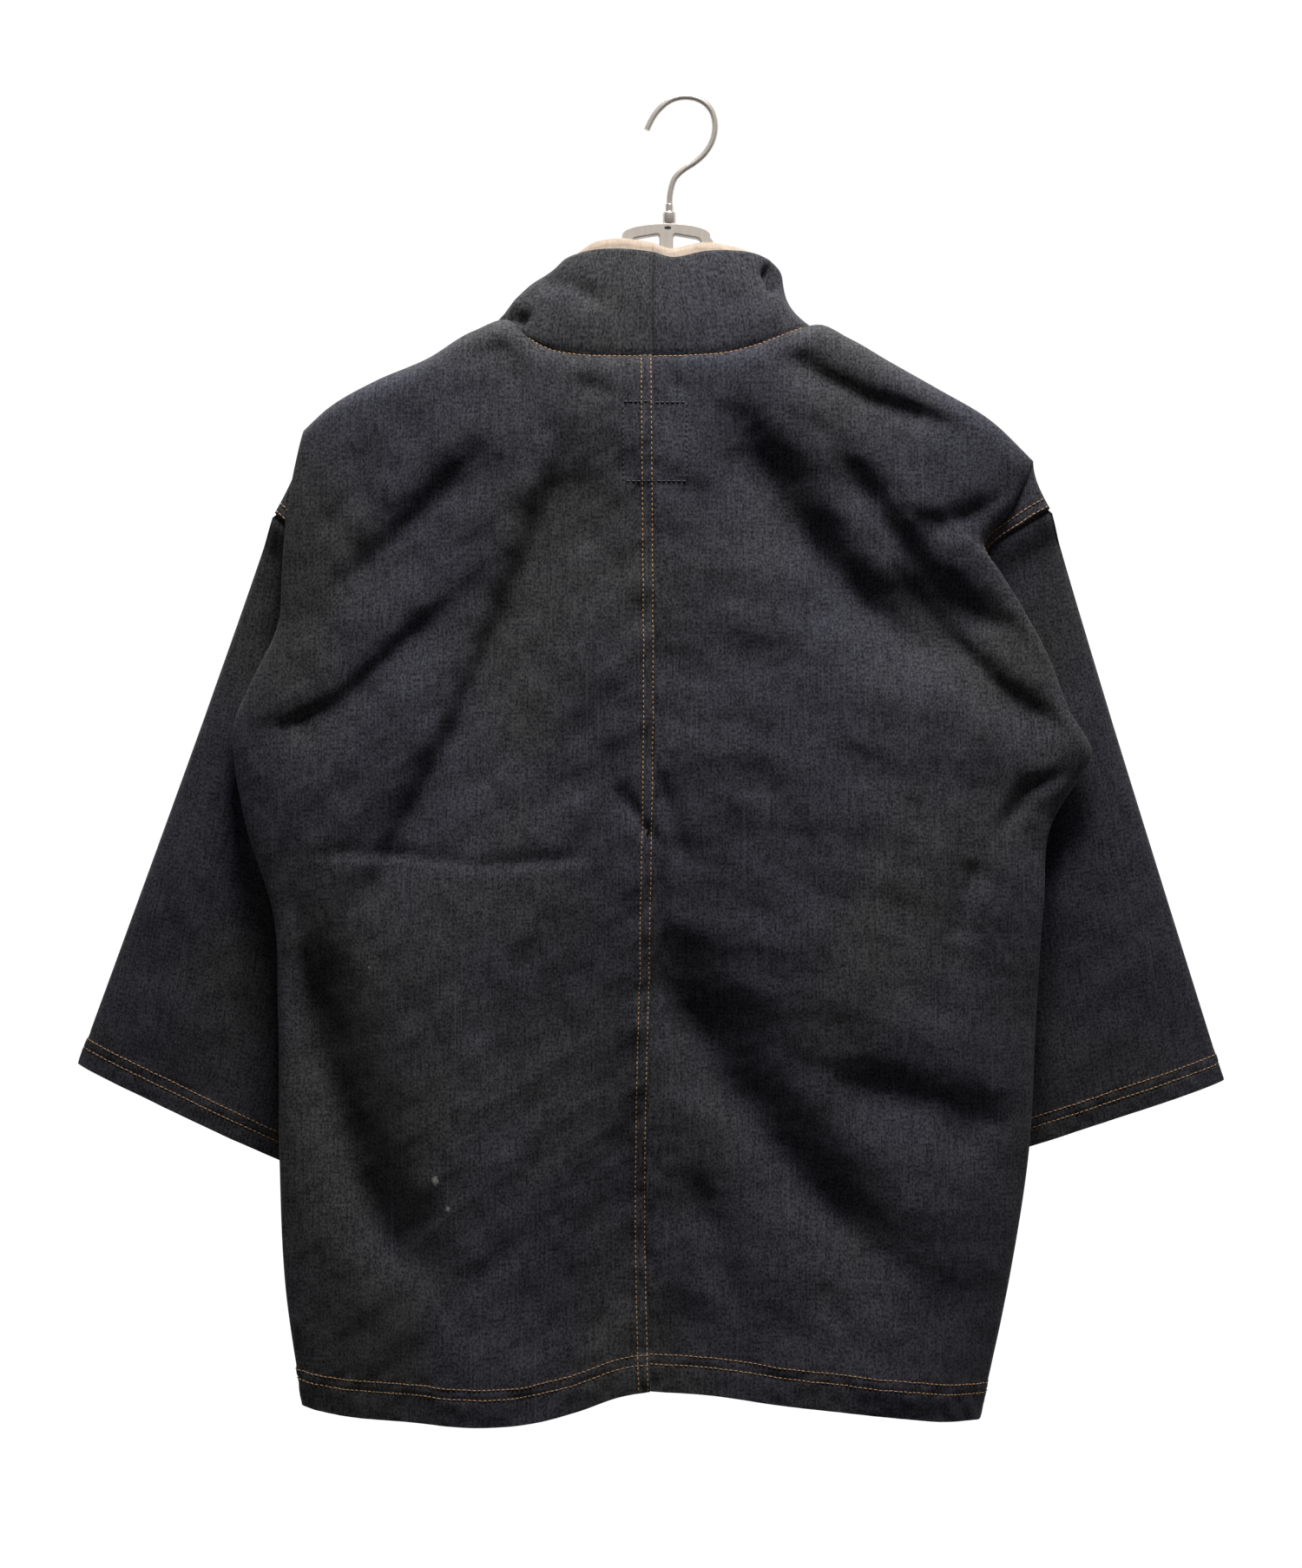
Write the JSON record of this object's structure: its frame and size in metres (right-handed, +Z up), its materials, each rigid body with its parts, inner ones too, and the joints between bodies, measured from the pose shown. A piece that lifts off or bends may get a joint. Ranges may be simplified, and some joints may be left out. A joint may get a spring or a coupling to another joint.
{
  "type": "denim kimono-style jacket on a hanger",
  "caption": "Boxy dark denim jacket with a standing band collar, wide short sleeves and an open front, hanging on a flat hanger with a wire hook.",
  "frame": {"origin": "the point inside the hook's crown that rests on a rail", "axes": "+Z up, the jacket's back faces -Y and its open front faces +Y, +X to the right as the back is seen"},
  "size_m": [0.7709, 0.1183, 0.868],
  "materials": {
    "denim": "matte",
    "facing": "matte",
    "hanger": "satin",
    "steel": "brushed"
  },
  "bodies": {
    "root": {"back_left": "denim", "back_right": "denim", "front_left": "denim", "front_right": "denim", "sleeve_left": "denim", "sleeve_right": "denim", "collar_left": "denim", "collar_right": "denim", "facing_left": "facing", "facing_right": "facing", "hanger": "hanger", "ferrule": "steel", "hook": "steel"}
  },
  "joints": []
}
